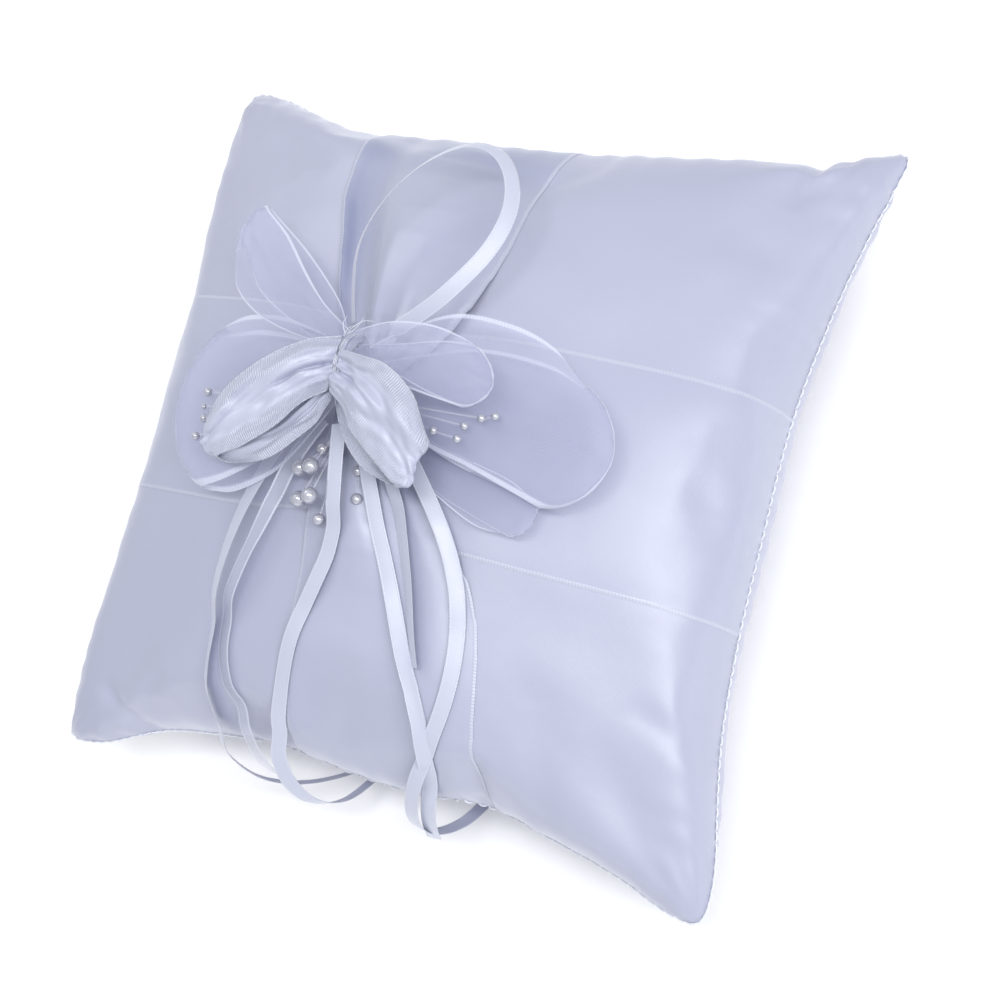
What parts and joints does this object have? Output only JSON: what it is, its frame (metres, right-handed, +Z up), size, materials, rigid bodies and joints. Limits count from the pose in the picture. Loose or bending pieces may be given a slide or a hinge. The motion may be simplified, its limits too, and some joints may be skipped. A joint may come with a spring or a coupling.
{
  "type": "ring bearer pillow",
  "caption": "Square satin ring bearer pillow crossed by two ribbon bands, with a tied bow of organza and satin loops, narrow ribbon tails and pearl sprays.",
  "frame": {"origin": "on the surface the pillow rests on, under the middle of its outline", "axes": "+X to the pillow's right, +Y to its top edge, +Z up out of the front, through the bow"},
  "size_m": [0.2033, 0.2026, 0.0983],
  "materials": {
    "satin": "cool white satin weave with a soft sheen",
    "band_satin": "satin ribbon, woven edges, brighter sheen",
    "ribbon_satin": "ribbed satin ribbon",
    "narrow_satin": "narrow double-faced satin ribbon",
    "organza": "sheer woven organza",
    "thread": "twisted sewing thread",
    "fibre": "loose polyester fibre",
    "pearl": "imitation pearl, soft lustre",
    "clear_line": "clear monofilament"
  },
  "bodies": {
    "pillow": {"front_panel": "satin", "back_panel": "satin", "fibre_filling": "fibre", "edge_seam_thread": "thread", "closing_stitches": "thread", "tacking_thread": "thread", "binding_thread": "thread", "horizontal_band": "band_satin", "vertical_band": "band_satin", "knot_wrap": "ribbon_satin", "gathered_middle": "ribbon_satin", "sheer_tail": "organza", "pearls_low": "pearl", "stems_low": "clear_line", "narrow_loop_top": "narrow_satin", "narrow_tail_left": "narrow_satin", "narrow_tail_far_left": "narrow_satin", "narrow_tail_middle": "narrow_satin", "narrow_tail_short": "narrow_satin", "narrow_tail_right": "narrow_satin"},
    "left_loops": {"organza_loop_left": "organza", "organza_loop_upper_left": "organza", "satin_loop_left": "ribbon_satin", "pearls_left": "pearl", "stems_left": "clear_line"},
    "right_loops": {"organza_loop_right": "organza", "organza_loop_short": "organza", "satin_loop_right": "ribbon_satin", "pearls_right": "pearl", "stems_right": "clear_line"}
  },
  "joints": [
    {"name": "left_loops_lift", "type": "hinge", "parent": "pillow", "child": "left_loops", "pos_m": [-0.014, 0.012, 0.0905], "axis": [0, 1, 0], "range_deg": [0, 50]},
    {"name": "right_loops_lift", "type": "hinge", "parent": "pillow", "child": "right_loops", "pos_m": [-0.004, 0.012, 0.0905], "axis": [0, -1, 0], "range_deg": [0, 50]}
  ]
}
